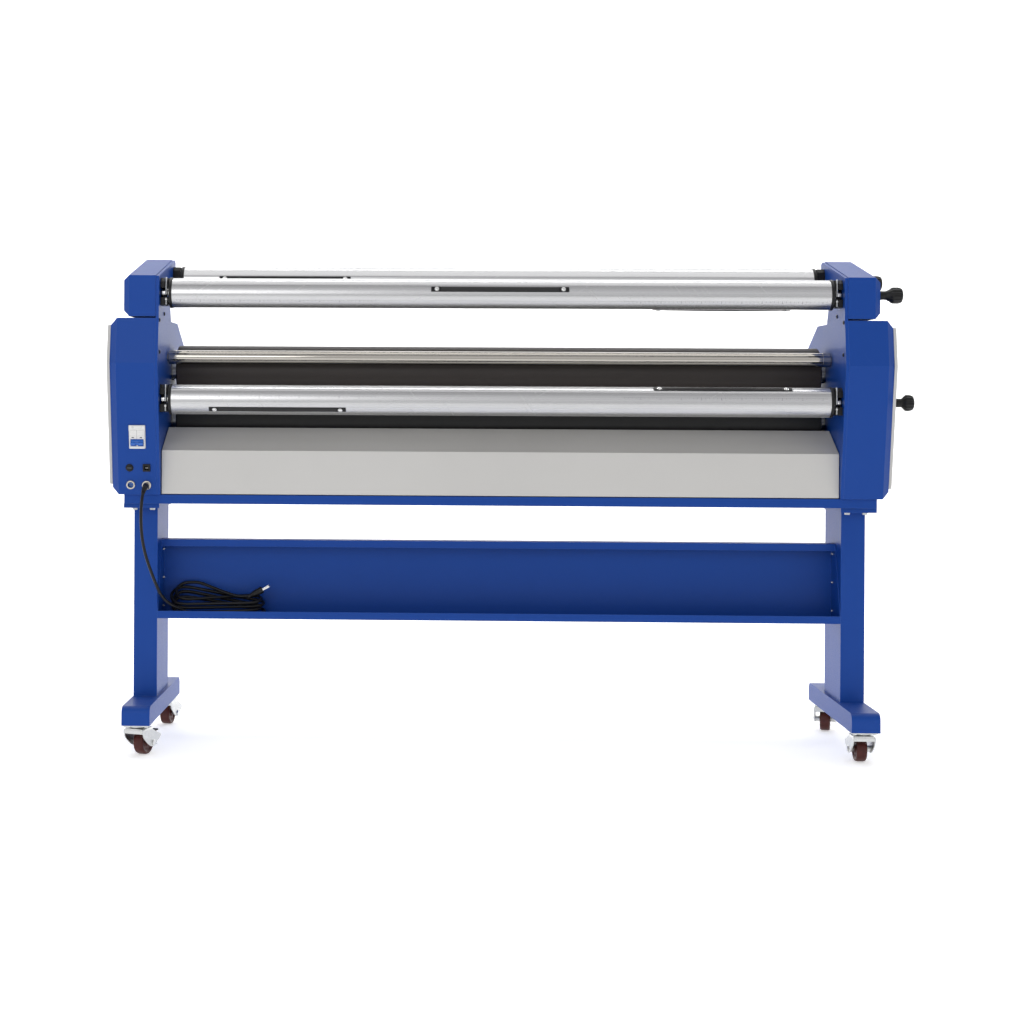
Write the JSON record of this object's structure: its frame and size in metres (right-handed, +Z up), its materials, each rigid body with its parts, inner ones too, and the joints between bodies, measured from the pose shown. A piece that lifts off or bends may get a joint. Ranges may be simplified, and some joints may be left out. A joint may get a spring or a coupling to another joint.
{
  "type": "cold roll laminator",
  "caption": "Wide cold roll laminator on a wheeled stand: two nip rollers, three core shafts, a guide bar, feed table and tray.",
  "frame": {"origin": "on the floor under the middle of the machine's outline, knobs included, cord left out", "axes": "+X along the rollers towards the tension knobs; +Y from the take-up side towards the operator's feed table; +Z up"},
  "size_m": [2.015, 0.607, 1.2575],
  "materials": {
    "blue_paint": "satin powder coat",
    "grey_paint": "fine textured powder coat",
    "zinc_steel": "zinc plated",
    "black_steel": "satin black paint",
    "cast_iron": "rough cast",
    "motor_paint": "satin paint",
    "white_plastic": "satin moulded",
    "black_plastic": "satin moulded",
    "blue_plastic": "glossy moulded",
    "red_plastic": "glossy moulded",
    "chrome": "polished",
    "cord_rubber": "satin cord sheath",
    "black_rubber": "ground rubber",
    "brown_rubber": "ground silicone rubber",
    "anodised": "satin anodised",
    "wheel_resin": "hard moulded"
  },
  "bodies": {
    "frame": {"left_side_plate": "blue_paint", "right_side_plate": "blue_paint", "left_cabinet": "blue_paint", "right_cabinet": "blue_paint", "left_top_cover": "blue_paint", "right_top_cover": "blue_paint", "outer_panels": "grey_paint", "rear_panel": "grey_paint", "base_pan": "blue_paint", "left_leg": "blue_paint", "right_leg": "blue_paint", "tray": "blue_paint", "feed_table": "grey_paint", "frame_bolts": "zinc_steel", "shaft_seats": "black_steel", "roller_brackets": "cast_iron", "drive_motor": "motor_paint", "drive_chain": "zinc_steel", "circuit_breaker": "white_plastic", "panel_fittings": "black_plastic", "cord_gland": "chrome", "power_cord": "cord_rubber", "cord_hank": "cord_rubber", "plug": "black_plastic", "caster_plates": "zinc_steel"},
    "lower_roller": {"lower_roller_core": "zinc_steel", "lower_roller_cover": "black_rubber"},
    "lift": {"lift_blocks": "cast_iron"},
    "upper_roller": {"upper_roller_core": "zinc_steel", "upper_roller_cover": "brown_rubber"},
    "lift_shaft": {"lift_cam_shaft": "zinc_steel", "handwheel": "black_steel"},
    "motor_shaft": {"motor_sprocket": "zinc_steel"},
    "guide_bar": {"guide_bar": "chrome"},
    "breaker_toggle": {"breaker_toggle": "blue_plastic"},
    "emergency_stop": {"emergency_stop": "red_plastic"},
    "speed_knob": {"speed_knob": "black_plastic"},
    "liner_shaft": {"liner_tube": "anodised", "liner_grips": "black_rubber"},
    "liner_knob": {"liner_knob": "black_plastic"},
    "supply_shaft": {"supply_tube": "anodised", "supply_grips": "black_rubber"},
    "supply_knob": {"supply_knob": "black_plastic"},
    "take_up_shaft": {"take_up_tube": "anodised", "take_up_grips": "black_rubber"},
    "take_up_knob": {"take_up_knob": "black_plastic"},
    "liner_latch_left": {"liner_latch_left": "zinc_steel"},
    "liner_latch_right": {"liner_latch_right": "zinc_steel"},
    "take_up_latch_left": {"take_up_latch_left": "zinc_steel"},
    "take_up_latch_right": {"take_up_latch_right": "zinc_steel"},
    "left_rear_fork": {"left_rear_fork": "zinc_steel"},
    "left_rear_wheel": {"left_rear_wheel": "wheel_resin"},
    "left_front_fork": {"left_front_fork": "zinc_steel"},
    "left_front_wheel": {"left_front_wheel": "wheel_resin"},
    "right_rear_fork": {"right_rear_fork": "zinc_steel"},
    "right_rear_wheel": {"right_rear_wheel": "wheel_resin"},
    "right_front_fork": {"right_front_fork": "zinc_steel"},
    "right_front_wheel": {"right_front_wheel": "wheel_resin"},
    "left_rear_pedal": {"left_rear_pedal": "black_plastic"},
    "right_front_pedal": {"right_front_pedal": "black_plastic"}
  },
  "joints": [
    {"name": "lower_roller_spin", "type": "hinge", "parent": "frame", "child": "lower_roller", "pos_m": [-0.0245, 0.0085, 0.833], "axis": [1, 0, 0], "continuous": true},
    {"name": "roller_lift", "type": "slide", "parent": "frame", "child": "lift", "axis": [0, 0, 1], "range_m": [0, 0.025]},
    {"name": "upper_roller_spin", "type": "hinge", "parent": "lift", "child": "upper_roller", "pos_m": [-0.0245, 0.0085, 0.9637], "axis": [1, 0, 0], "continuous": true},
    {"name": "cam_turn", "type": "hinge", "parent": "frame", "child": "lift_shaft", "pos_m": [-0.0245, 0.1135, 0.87], "axis": [1, 0, 0], "range_deg": [0, 272]},
    {"name": "motor_spin", "type": "hinge", "parent": "frame", "child": "motor_shaft", "pos_m": [-0.9205, 0.0085, 0.7], "axis": [1, 0, 0], "continuous": true},
    {"name": "guide_bar_spin", "type": "hinge", "parent": "frame", "child": "guide_bar", "pos_m": [-0.0245, -0.0835, 0.996], "axis": [1, 0, 0], "continuous": true},
    {"name": "liner_spin", "type": "hinge", "parent": "frame", "child": "liner_shaft", "pos_m": [-0.0245, -0.1945, 1.155], "axis": [1, 0, 0], "continuous": true},
    {"name": "liner_tension", "type": "hinge", "parent": "frame", "child": "liner_knob", "pos_m": [0.9255, -0.1945, 1.155], "axis": [1, 0, 0], "range_deg": [-180, 360]},
    {"name": "supply_spin", "type": "hinge", "parent": "frame", "child": "supply_shaft", "pos_m": [-0.0245, 0.0155, 1.199], "axis": [1, 0, 0], "continuous": true},
    {"name": "supply_tension", "type": "hinge", "parent": "frame", "child": "supply_knob", "pos_m": [0.9255, 0.0155, 1.199], "axis": [1, 0, 0], "range_deg": [-180, 360]},
    {"name": "take_up_spin", "type": "hinge", "parent": "frame", "child": "take_up_shaft", "pos_m": [-0.0245, -0.1985, 0.887], "axis": [1, 0, 0], "continuous": true},
    {"name": "take_up_tension", "type": "hinge", "parent": "frame", "child": "take_up_knob", "pos_m": [0.9255, -0.1985, 0.887], "axis": [1, 0, 0], "range_deg": [-180, 360]},
    {"name": "liner_latch_left_swing", "type": "hinge", "parent": "frame", "child": "liner_latch_left", "pos_m": [-0.862, -0.2115, 1.138], "axis": [1, 0, 0], "range_deg": [0, 95]},
    {"name": "liner_latch_right_swing", "type": "hinge", "parent": "frame", "child": "liner_latch_right", "pos_m": [0.813, -0.2115, 1.138], "axis": [1, 0, 0], "range_deg": [0, 95]},
    {"name": "take_up_latch_left_swing", "type": "hinge", "parent": "frame", "child": "take_up_latch_left", "pos_m": [-0.862, -0.2155, 0.87], "axis": [1, 0, 0], "range_deg": [0, 95]},
    {"name": "take_up_latch_right_swing", "type": "hinge", "parent": "frame", "child": "take_up_latch_right", "pos_m": [0.813, -0.2155, 0.87], "axis": [1, 0, 0], "range_deg": [0, 95]},
    {"name": "breaker_switch", "type": "hinge", "parent": "frame", "child": "breaker_toggle", "pos_m": [-0.9315, -0.22087, 0.7782], "axis": [-1, 0, 0], "range_deg": [0, 45]},
    {"name": "stop_push", "type": "slide", "parent": "frame", "child": "emergency_stop", "axis": [0, -1, 0], "range_m": [0, 0.004]},
    {"name": "speed_turn", "type": "hinge", "parent": "frame", "child": "speed_knob", "pos_m": [-0.9415, 0.2585, 0.86], "axis": [0, -1, 0], "range_deg": [0, 270]},
    {"name": "left_rear_swivel", "type": "hinge", "parent": "frame", "child": "left_rear_fork", "pos_m": [-0.9185, -0.2635, 0.075], "axis": [0, 0, 1], "continuous": true},
    {"name": "left_rear_roll", "type": "hinge", "parent": "left_rear_fork", "child": "left_rear_wheel", "pos_m": [-0.90892, -0.23719, 0.031], "axis": [0.9397, -0.342, 0], "continuous": true},
    {"name": "left_rear_brake", "type": "hinge", "parent": "left_rear_fork", "child": "left_rear_pedal", "pos_m": [-0.89729, -0.20524, 0.044], "axis": [0.9397, -0.342, 0], "range_deg": [-10, 0]},
    {"name": "left_front_swivel", "type": "hinge", "parent": "frame", "child": "left_front_fork", "pos_m": [-0.9185, 0.1625, 0.075], "axis": [0, 0, 1], "continuous": true},
    {"name": "left_front_roll", "type": "hinge", "parent": "left_front_fork", "child": "left_front_wheel", "pos_m": [-0.91364, 0.19007, 0.031], "axis": [0.9848, -0.1736, 0], "continuous": true},
    {"name": "right_rear_swivel", "type": "hinge", "parent": "frame", "child": "right_rear_fork", "pos_m": [0.8695, -0.2635, 0.075], "axis": [0, 0, 1], "continuous": true},
    {"name": "right_rear_roll", "type": "hinge", "parent": "right_rear_fork", "child": "right_rear_wheel", "pos_m": [0.8695, -0.2355, 0.031], "axis": [1, 0, 0], "continuous": true},
    {"name": "right_front_swivel", "type": "hinge", "parent": "frame", "child": "right_front_fork", "pos_m": [0.8695, 0.1625, 0.075], "axis": [0, 0, 1], "continuous": true},
    {"name": "right_front_roll", "type": "hinge", "parent": "right_front_fork", "child": "right_front_wheel", "pos_m": [0.87675, 0.18955, 0.031], "axis": [0.9659, -0.2588, 0], "continuous": true},
    {"name": "right_front_brake", "type": "hinge", "parent": "right_front_fork", "child": "right_front_pedal", "pos_m": [0.88555, 0.22239, 0.044], "axis": [0.9659, -0.2588, 0], "range_deg": [-10, 0]}
  ],
  "couplings": [
    {"joint": "upper_roller_spin", "follows": "lower_roller_spin", "ratio": -1},
    {"joint": "motor_spin", "follows": "lower_roller_spin", "ratio": 1.5},
    {"joint": "cam_turn", "follows": "roller_lift", "rad_per_m": 188.5}
  ]
}
